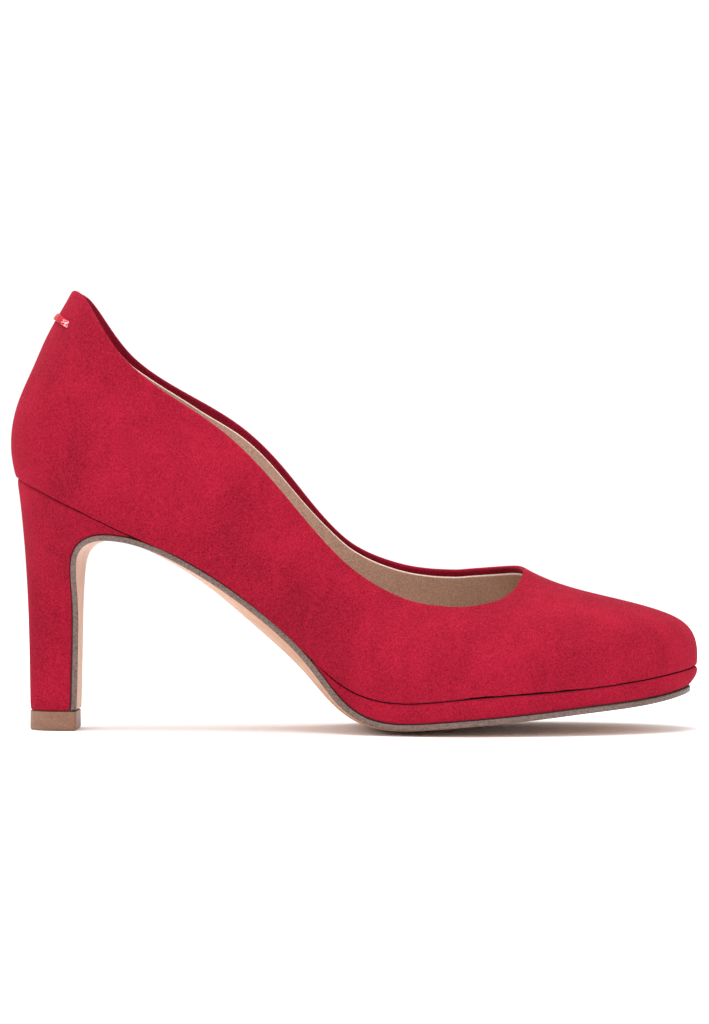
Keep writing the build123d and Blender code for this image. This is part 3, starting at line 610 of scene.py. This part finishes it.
def floor_material():
    """A matt white floor, very faintly clouded."""
    shader = Shader("floor_white", roughness=0.9)
    tone = shader.noise(0.4, 2.0)
    base = shader.ramp(tone, [(0.3, (246, 247, 248)), (0.7, (248, 249, 250))])
    return shader.done(base)


# ---- Upper ---------------------------------------------------------------------------------------
def wall_rows(length):
    """Distances up the wall: close together at the foot and under the fold."""
    top = [length - down for down in TOP_ROWS]
    middle = np.linspace(FOOT_ROWS[-1], top[0], MIDDLE_ROWS + 2)[1:-1]
    return [*FOOT_ROWS, *middle, *top]


def upper_section(wall, seam):
    """One plane of the upper as a closed loop: outside, fold, inside, and down to the foot."""
    rows = wall_rows(wall.length)
    tucks = [SEAM_TUCK, SEAM_TUCK * 0.25] + [0.0] * (len(rows) - 2)
    loop = [wall.spot(run, tuck + seam) for run, tuck in zip(rows, tucks)]
    crown = wall.length - FOLD_RADIUS
    normal = wall.outward(crown)
    upward = np.array([-normal[1], normal[0]])
    centre = wall.at(crown) - normal * FOLD_RADIUS
    for turn in np.radians(FOLD_ANGLES):
        loop.append(centre + (normal * math.cos(turn) + upward * math.sin(turn)) * FOLD_RADIUS)
    loop += [wall.spot(wall.length - down, 2 * FOLD_RADIUS) for down in FOLD_ROWS]
    inner = np.linspace(wall.length - FOLD_RUN - INNER_EASE, INNER_EASE, INNER_ROWS)
    loop += [wall.spot(run, SUEDE_THICKNESS) for run in [*inner, 0.0]]
    return [wall.place(flat) for flat in loop]


def make_upper(walls, materials):
    """The suede, from the feather line to the inside, sunk a little at the back seam."""
    sections = [upper_section(walls[0], BACK_SEAM_DEPTH)]
    sections += [upper_section(wall, 0.0) for wall in walls[1:]]
    piece = grid_mesh("upper_suede", sections, closed_ring=True)
    count = len(sections[0])
    crown = len(wall_rows(walls[0].length)) + len(FOLD_ANGLES) // 2
    # From the fold's crown inward the suede takes the darker facing material: painted shade inside the
    # topline.
    for polygon in piece.data.polygons:
        polygon.material_index = int(min(v % count for v in polygon.vertices) >= crown)
    smooth_piece(piece)
    return finish_piece(piece, materials, "suede_red", "upper")


# ---- Linings -------------------------------------------------------------------------------------
def lining_drops(walls):
    """How far down each plane a lining's edge is, for one width square to the topline."""
    tops = [w.place(w.at(w.length)) for w in walls]
    drops = []
    for before, after in zip(tops[:1] + tops[:-1], tops[1:] + tops[-1:]):
        along = after - before
        level = math.hypot(along.x, along.y)
        drops.append(LINING_DROP * min(along.length / level, STEEPEST_DROP))
    deeper = np.interp([top.x for top in tops], FACING_PLACES, FACING_DEEPER)
    return list(np.array(drops) + deeper)


def lining_section(wall, drop):
    """One plane of a lining: up its inside, over its cut edge, and down its back."""
    top = wall.length - drop
    up = np.linspace(LINING_FOOT, top - LINING_LAST_ROW, LINING_ROWS)
    loop = [wall.spot(run, LINING_INNER) for run in up]
    loop.append(wall.spot(top - LINING_CORNER, LINING_INNER))
    loop.append(wall.spot(top, LINING_INNER - LINING_CORNER))
    loop.append(wall.spot(top, LINING_OUTER + LINING_CORNER))
    loop.append(wall.spot(top - LINING_CORNER, LINING_OUTER))
    loop += [wall.spot(run, LINING_OUTER) for run in up[::-1]]
    return [wall.place(flat) for flat in loop]


def lining_walls(sides):
    """The walls of the quarter's lining and of the vamp's, which lap over each other at the seam."""
    quarter, vamp = {}, {}
    for side in (LATERAL, MEDIAL):
        planes = [(LINING_SEAM_X + lap, across(side)) for lap in (LINING_LAP, -LINING_LAP)]
        quarter_end, vamp_end = walls_of(tree_of("upper"), planes)
        behind = [w for w in sides[side] if w.axis_x < LINING_SEAM_X - LINING_LAP / 2]
        ahead = [w for w in sides[side] if w.axis_x > LINING_SEAM_X + LINING_LAP / 2]
        quarter[side] = behind + [quarter_end]
        vamp[side] = [vamp_end] + ahead
    around_back = quarter[MEDIAL][::-1] + quarter[LATERAL][1:]
    return around_back, vamp[LATERAL] + vamp[MEDIAL][-2::-1]


def make_lining(name, walls, materials, node):
    """A lining whose second material is on its cut edge: the raw edge's own lighter colour, made light
    enough to also serve as a painted highlight along the top.
    """
    sections = [lining_section(wall, drop) for wall, drop in zip(walls, lining_drops(walls))]
    piece = grid_mesh(name, sections, caps=(True, True))
    count = len(sections[0])
    for polygon in piece.data.polygons:
        spots = [v % count for v in polygon.vertices]
        polygon.material_index = int(LINING_ROWS <= min(spots) and max(spots) <= LINING_ROWS + 3)
    smooth_piece(piece)
    return finish_piece(piece, materials, "lining_leather", node)


# ---- Covers --------------------------------------------------------------------------------------
def cover_section(wall, thickness, rows=8):
    """A strip's closed loop with both edges tucked in, which leaves a dark seam line."""
    tuck = min(SEAM_TUCK, wall.length / 4)
    ends = min(0.5 * MM, wall.length / 5)
    runs = [0.0, ends, 2.2 * ends]
    runs += list(np.linspace(2.2 * ends, wall.length - 2.2 * ends, rows)[1:-1])
    runs += [wall.length - 2.2 * ends, wall.length - ends, wall.length]
    depths = [tuck, tuck * 0.3] + [0.0] * (len(runs) - 4) + [tuck * 0.3, tuck]
    loop = [wall.spot(run, depth) for run, depth in zip(runs, depths)]
    loop += [wall.spot(run, thickness + tuck) for run in runs[::-1]]
    return [wall.place(flat) for flat in loop]


def cover_planes(side):
    """The cover's planes on one side: two at its thin tail, then the upper's."""
    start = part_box("platform_cover")[0].x
    tail = [(start + ahead, across(side)) for ahead in COVER_TAIL]
    return tail + [plane for plane in half_ring(side) if plane[0] > start + 2 * COVER_TAIL[-1]]


def make_platform_cover(material):
    """The suede strip round the platform, from one thin tail round the toe to the other."""
    tree = tree_of("platform_cover")
    lateral, medial = cover_planes(LATERAL), cover_planes(MEDIAL)
    walls = walls_of(tree, lateral + medial[-2::-1], step=FINE_STEP)
    walls = [wall for wall in walls if wall is not None and wall.length > COVER_SHORTEST]
    sections = [cover_section(wall, COVER_SKIN) for wall in walls]
    piece = grid_mesh("platform_cover_suede", sections, caps=(True, True))
    smooth_piece(piece)
    return finish_piece(piece, material, "suede_red", "platform_cover")


# ---- Heel ----------------------------------------------------------------------------------------
def heel_centre(z):
    """A point inside the heel at each height, on a line that leans like the stem."""
    share = np.clip((z - HEEL_LOW) / (SEAT_LOW - HEEL_LOW), 0, 1)
    return STEM_X + (SEAT_X - STEM_X) * share**LEAN_POWER


def polar(spot):
    """A point on the heel's skin as (angle from straight back, height, reach)."""
    ahead = spot[0] - heel_centre(spot[2])
    return np.array([math.atan2(abs(spot[1]), -ahead), spot[2], math.hypot(ahead, spot[1])])


def breast_edge(tree, side, tip):
    """The heel's front corner, up the breast and forward under the sole to the tip."""
    backward, up = Vector((-1, 0, 0)), Vector((0, 0, 1))
    sights = [(Vector((BEND_X, 0, z)), backward) for z in np.linspace(HEEL_LOW, BEND_Z, BREAST_STEPS)]
    sights += [(Vector((BEND_X, 0, BEND_Z)), round_bend(a)) for a in quarter_turn(CORNER_STEPS)]
    under = np.linspace(BEND_X, SEAT_FRONT_X, UNDER_STEPS)[1:-1]
    sights += [(Vector((x, 0, BEND_Z)), up) for x in under]
    edge = []
    for start, sight in sights:
        corner = tree.ray_cast(start, sight, HEEL_FAR)[0]
        if corner is None:
            continue
        corner += sight * CORNER_INSET
        corner.z = max(corner.z, HEEL_LOW + CORNER_INSET)
        skin = tree.ray_cast(corner + across(side) * HEEL_FAR, across(-side), HEEL_FAR)[0]
        if skin is not None:
            edge.append(skin)
    return evenly(edge + [Vector(tip)], HEEL_ROWS)


def evenly(spots, count):
    """Points a constant distance apart along a line of points."""
    points = np.array(spots)
    run = distances(points)
    wanted = np.linspace(0, run[-1], count)
    return list(np.column_stack([np.interp(wanted, run, points[:, k]) for k in range(3)]))


def seat_seam(walls):
    """The feather line of one side, from the back to the heel's tip, evenly spaced."""
    feet = [wall.place(wall.at(0.0)) for wall in walls]
    return evenly([foot for foot in feet if foot.x < SEAT_FRONT_X], HEEL_COLUMNS + 1)


def heel_patch(tree, seam, breast, side):
    """A grid over one side of the heel's skin, drawn between its four edges."""
    top = np.array([polar(spot) for spot in seam])
    front = np.array([polar(spot) for spot in breast])
    low = HEEL_LOW + CORNER_INSET
    columns = []
    for k in range(HEEL_COLUMNS + 1):
        s = k / HEEL_COLUMNS
        column = []
        for j in range(HEEL_ROWS):
            v = j / (HEEL_ROWS - 1)
            back = np.array([0.0, low + (top[0][1] - low) * v])
            bottom = np.array([front[0][0] * s, low])
            spot = (1 - v) * bottom + v * top[k][:2] + (1 - s) * back + s * front[j][:2]
            spot -= (1 - s) * (1 - v) * np.array([0.0, low]) + s * (1 - v) * front[0][:2]
            spot -= (1 - s) * v * top[0][:2] + s * v * front[-1][:2]
            column.append((heel_centre(spot[1]), from_back(spot[0], side), spot[1]))
        reaches = bridged([reach(tree, *ray, HEEL_FAR) for ray in column])
        reaches[-1] = top[k][2]
        if k == HEEL_COLUMNS:
            reaches = front[:, 2]
        columns.append([(*ray, away) for ray, away in zip(column, reaches)])
    return columns


def bridged(values):
    """Fills the gaps in a list of reaches, and drops single strays that fell through a seam."""
    values = np.array([np.nan if v is None else v for v in values])
    places = np.arange(len(values))
    known = ~np.isnan(values)
    values = np.interp(places, places[known], values[known])
    middle = np.median([values[:-2], values[1:-1], values[2:]], axis=0)
    values[1:-1] = np.where(np.abs(values[1:-1] - middle) > STRAY, middle, values[1:-1])
    return values


def make_heel_cover(walls, material):
    """The suede skin of the heel: from the front corner round the back to the other corner."""
    tree = tree_of("heel_cover", "heel_core")
    sides = {}
    for side in (LATERAL, MEDIAL):
        seam = seat_seam(walls[side])
        sides[side] = heel_patch(tree, seam, breast_edge(tree, side, seam[-1]), side)
    columns = sides[LATERAL][::-1] + sides[MEDIAL][1:]
    sections = []
    for column in columns:
        low = heel_spot(column[0], SEAM_TUCK * 0.6)
        skin = [heel_spot(row, 0.0) for row in column[1:-1]]
        top = heel_spot(column[-1], SEAM_TUCK)
        inner = [heel_spot(row, HEEL_SKIN) for row in column[::-1]]
        sections.append([low] + skin + [top] + inner)
    piece = grid_mesh("heel_cover_suede", sections, caps=(True, True))
    smooth_piece(piece)
    return finish_piece(piece, material, "suede_red", "heel_cover")


def heel_spot(row, depth):
    """A point at a depth under the heel's skin."""
    middle, direction, z, away = row
    return Vector((middle, 0, z)) + direction * (away - depth)


# ---- Bent and flat sheets ------------------------------------------------------------------------
class Strip:
    """One plane through a sheet: lines of sight square to it, at distances along the plane."""

    def __init__(self, origin, sight, way=across):
        self.origin = origin
        self.sight = sight
        self.ways = {side: way(side) for side in (LATERAL, MEDIAL)}

    def faces(self, tree, side, distance):
        """The near and far face along the line of sight, or None past the sheet's edge."""
        for nudge in NUDGES:
            start = self.origin + self.ways[side] * (distance + nudge)
            near = tree.ray_cast(start, self.sight, FAR)[0]
            if near is None:
                continue
            far = tree.ray_cast(near + self.sight * THICKEST, -self.sight, LOOK_BACK)[0]
            if far is not None:
                return near, far
        return None

    def edge(self, tree, side):
        """How far the sheet reaches to one side."""
        step = 1.0 * MM
        inside = max(d for d in np.arange(0, WIDEST, step) if self.faces(tree, side, d) is not None)
        outside = inside + step
        for _ in range(10):
            middle = (inside + outside) / 2
            if self.faces(tree, side, middle) is None:
                outside = middle
            else:
                inside = middle
        return inside


def sheet_half(strip, tree, side):
    """Near and far points of one side from the middle out, then the rounded edge."""
    edge = strip.edge(tree, side)
    usable = max(edge - EDGE_ROUND, 0.0)
    near, far = [], []
    for share in SHEET_SHARES + (1.0,):
        low, high = strip.faces(tree, side, usable * share)
        near.append(low)
        far.append(high)
    out = strip.ways[side]
    low, high = near[-1], far[-1]
    deep = (high - low).normalized()
    thick = (high - low).length
    rim = [
        low + out * EDGE_ROUND * 0.7 + deep * EDGE_ROUND * 0.3,
        low + out * EDGE_ROUND + deep * EDGE_ROUND,
        low + out * EDGE_ROUND + deep * thick * 0.5,
        high + out * EDGE_ROUND - deep * EDGE_ROUND,
        high + out * EDGE_ROUND * 0.7 - deep * EDGE_ROUND * 0.3,
    ]
    return near, rim, far


def sheet_section(strip, tree):
    """A closed loop round the sheet: near face, one edge, far face, the other edge."""
    near_l, rim_l, far_l = sheet_half(strip, tree, LATERAL)
    near_m, rim_m, far_m = sheet_half(strip, tree, MEDIAL)
    return near_m[::-1] + near_l[1:] + rim_l + far_l[::-1] + far_m[1:] + rim_m[::-1]


def mark_sheet(piece, count):
    """Marks the edge faces of a sheet with material 1 and its far face with material 2."""
    width = 2 * len(SHEET_SHARES) + 1
    for polygon in piece.data.polygons:
        spots = [v % count for v in polygon.vertices]
        middle = (min(spots) + max(spots)) / 2
        if max(spots) - min(spots) > count / 2:
            polygon.material_index = 1
        elif middle < width - 1:
            polygon.material_index = 0
        elif width + RIM_POINTS <= middle < 2 * width + RIM_POINTS - 1:
            polygon.material_index = 2
        else:
            polygon.material_index = 1


# ---- Outsole -------------------------------------------------------------------------------------
def sole_strips():
    """Planes through the sole: up the breast, round the bend, along the waist, round the toe."""
    flap_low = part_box("top_piece")[1].z + FLAP_GAP
    backward, up = Vector((-1, 0, 0)), Vector((0, 0, 1))
    strips = [Strip(Vector((BEND_X, 0, z)), backward) for z in np.linspace(flap_low, BEND_Z, FLAP_STEPS)]
    strips += [Strip(Vector((BEND_X, 0, BEND_Z)), round_bend(a)) for a in quarter_turn(BEND_STEPS)]
    strips += [Strip(Vector((x, 0, BELOW)), up) for x in np.linspace(BEND_X, THROAT_AXIS, WAIST_STEPS)[1:]]
    return strips + toe_strips(BELOW, up, TOE_STEPS)


def toe_strips(height, sight, steps):
    """Planes that turn from square across to the toe, seen from one height."""
    origin = Vector((THROAT_AXIS, 0, height))
    return [Strip(origin, sight, partial(round_toe, a)) for a in quarter_turn(steps)]


def make_outsole(materials):
    """The leather sole, from the flap's foot at the lift to the toe."""
    tree = tree_of("outsole")
    sections = [sheet_section(strip, tree) for strip in sole_strips()]
    piece = grid_mesh("outsole_leather", sections, caps=(True, False))
    mark_sheet(piece, len(sections[0]))
    smooth_piece(piece)
    return finish_piece(piece, materials, "outsole_tan", "outsole")


# ---- Insock --------------------------------------------------------------------------------------
def insock_strips():
    """Planes through the sock, seen from above, from the heel's back to the toe."""
    down = Vector((0, 0, -1))
    heel = Vector((HEEL_AXIS, 0, ABOVE))
    turns = np.linspace(0, math.pi / 2, SOCK_HEEL_STEPS)
    strips = [Strip(heel, down, partial(from_back, a)) for a in turns]
    along = np.linspace(HEEL_AXIS, THROAT_AXIS, SOCK_SIDE_STEPS)[1:]
    strips += [Strip(Vector((x, 0, ABOVE)), down) for x in along]
    return strips + toe_strips(ABOVE, down, SOCK_TOE_STEPS)


def make_insock(material):
    """The leather sock, a padded sheet over the whole footbed."""
    tree = tree_of("insock")
    sections = [sheet_section(strip, tree) for strip in insock_strips()]
    piece = grid_mesh("insock_leather", sections)
    smooth_piece(piece)
    finish_piece(piece, material, "insock_leather", "insock")
    return piece


# ---- Back tab ------------------------------------------------------------------------------------
def make_back_tab(material):
    """The patent strip round the back seam, whose ends dip through slits in the suede."""
    angles = np.radians(np.linspace(-TAB_TURN, TAB_TURN, TAB_STEPS))
    planes = [(HEEL_AXIS, from_back(angle, MEDIAL)) for angle in angles]
    walls = [wall for wall in walls_of(tree_of("back_tab"), planes, step=FINE_STEP) if wall is not None]
    dips = [TAB_END_DIP] + [0.0] * (len(walls) - 2) + [TAB_END_DIP]
    sections = [tab_section(wall, dip) for wall, dip in zip(walls, dips)]
    piece = grid_mesh("back_tab_patent", sections, caps=(True, True))
    smooth_piece(piece)
    return finish_piece(piece, material, "patent_red", "back_tab")


def tab_section(wall, dip):
    """The strip's closed loop: a low crown with rounded edges."""
    outer = [wall.spot(wall.length * share, dip + c * MM) for share, c in zip(TAB_SHARES, TAB_CROWN)]
    inner = [wall.spot(wall.length * share, dip + TAB_THICKNESS) for share in TAB_SHARES[::-1]]
    return [wall.place(flat) for flat in outer + inner]


# ---- CAD pieces that keep their own shape --------------------------------------------------------
def give_material(node, material):
    """Makes a material the only one on a CAD node."""
    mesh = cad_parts[node].data
    mesh.materials.clear()
    mesh.materials.append(material)


def finish_top_piece(material):
    """The lift keeps its CAD shape, with its edges worn round."""
    give_material("top_piece", material)
    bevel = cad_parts["top_piece"].modifiers.new("Worn edges", "BEVEL")
    bevel.width = 0.5 * MM
    bevel.segments = 3
    bevel.limit_method = "ANGLE"


def finish_hidden_nodes():
    """Gives the closed-in nodes their finishes, one material for each kind."""
    for kind, nodes in HIDDEN_NODES.items():
        material = hidden_material(kind, *HIDDEN_FINISHES[kind])
        for node in nodes:
            give_material(node, material)


# ---- Stage ---------------------------------------------------------------------------------------
def make_floor():
    """A pale floor that sweeps up far behind the shoe."""
    radius, behind, ahead, half_width = 1.2, 2.0, 3.0, 4.0
    line = [(-ahead, 0.0)] + [(y, 0.0) for y in np.linspace(-1, behind, 7)]
    for a in np.radians(np.arange(10, 91, 10)):
        line.append((behind + radius * math.sin(a), radius * (1 - math.cos(a))))
    line.append((behind + radius, 5.0))
    sections = [[Vector((x, y, z + cad_low.z)) for y, z in line] for x in (-half_width, 0, half_width)]
    floor = grid_mesh("floor", sections, closed_section=False)
    for polygon in floor.data.polygons:
        polygon.use_smooth = True
    floor.data.materials.append(floor_material())


def add_light(name, place, size, power, aim=(0.0, 0.0, 0.05)):
    """A soft rectangular light that faces the shoe."""
    data = bpy.data.lights.new(name, "AREA")
    data.shape = "RECTANGLE"
    data.size, data.size_y = size
    data.energy = power
    light = bpy.data.objects.new(name, data)
    light.location = place
    light.rotation_mode = "QUATERNION"
    light.rotation_quaternion = (Vector(aim) - Vector(place)).to_track_quat("-Z", "Y")
    bpy.context.scene.collection.objects.link(light)


def make_studio():
    """Even white surroundings, a wide soft light above and in front, and weak fills."""
    world = bpy.data.worlds.new("studio")
    world.use_nodes = True
    background = world.node_tree.nodes["Background"]
    background.inputs["Color"].default_value = (1.0, 1.0, 1.0, 1.0)
    background.inputs["Strength"].default_value = 1.0
    bpy.context.scene.world = world
    add_light("overhead", (-0.15, -0.1, 1.3), (1.2, 1.0), 22.0)
    add_light("front_left", (-0.9, -1.1, 0.7), (0.8, 0.8), 4.5)
    add_light("front_right", (0.9, -1.2, 0.4), (0.7, 0.7), 3.0)


def make_camera():
    """A long lens, level with the shoe's middle height."""
    data = bpy.data.cameras.new("camera")
    data.sensor_width = CAMERA_SENSOR
    data.lens = CAMERA_LENS
    camera = bpy.data.objects.new("camera", data)
    camera.location = CAMERA_PLACE
    camera.rotation_euler = (math.pi / 2, 0, 0)
    bpy.context.scene.collection.objects.link(camera)
    bpy.context.scene.camera = camera
    bpy.context.scene.view_settings.view_transform = "Standard"


# ---- Assembly ------------------------------------------------------------------------------------
def build():
    """Every piece of the shoe, each on its own CAD node."""
    suede = suede_material()
    # Painted shade: the same suede made darker for its inner side.
    facing = suede_material("suede_facing_painted_shade", FACING_PAINTED_SHADE)
    lining = lining_material("lining_leather", (166, 130, 112), (192, 158, 140))
    # The lining's cut edge: partly the raw leather's own lighter colour, partly a painted highlight along
    # its top.
    lining_edge_and_highlight = lining_material("lining_cut_edge_and_highlight", (220, 190, 174), (236, 212, 198))
    insock = lining_material("insock_leather", (180, 152, 130), (194, 168, 146))
    sole_flesh = hidden_material("sole_flesh", (190, 160, 130), (206, 178, 150), 3 * MM)

    walls = walls_of(tree_of("upper"), full_ring())
    half = len(half_ring(LATERAL))
    sides = {LATERAL: walls[:half], MEDIAL: [walls[0]] + walls[: half - 2 : -1]}
    quarter, vamp = lining_walls(sides)
    make_upper(walls, [suede, facing])
    make_lining("quarter_lining_leather", quarter, [lining, lining_edge_and_highlight], "quarter_lining")
    make_lining("vamp_lining_leather", vamp, [lining, lining_edge_and_highlight], "vamp_lining")
    make_insock(insock)
    make_platform_cover(suede)
    make_heel_cover(sides, suede)
    make_outsole([sole_bottom_material(), sole_edge_material(), sole_flesh])
    make_back_tab(patent_material())
    finish_top_piece(rubber_material())
    finish_hidden_nodes()


build()
make_floor()
make_studio()
make_camera()
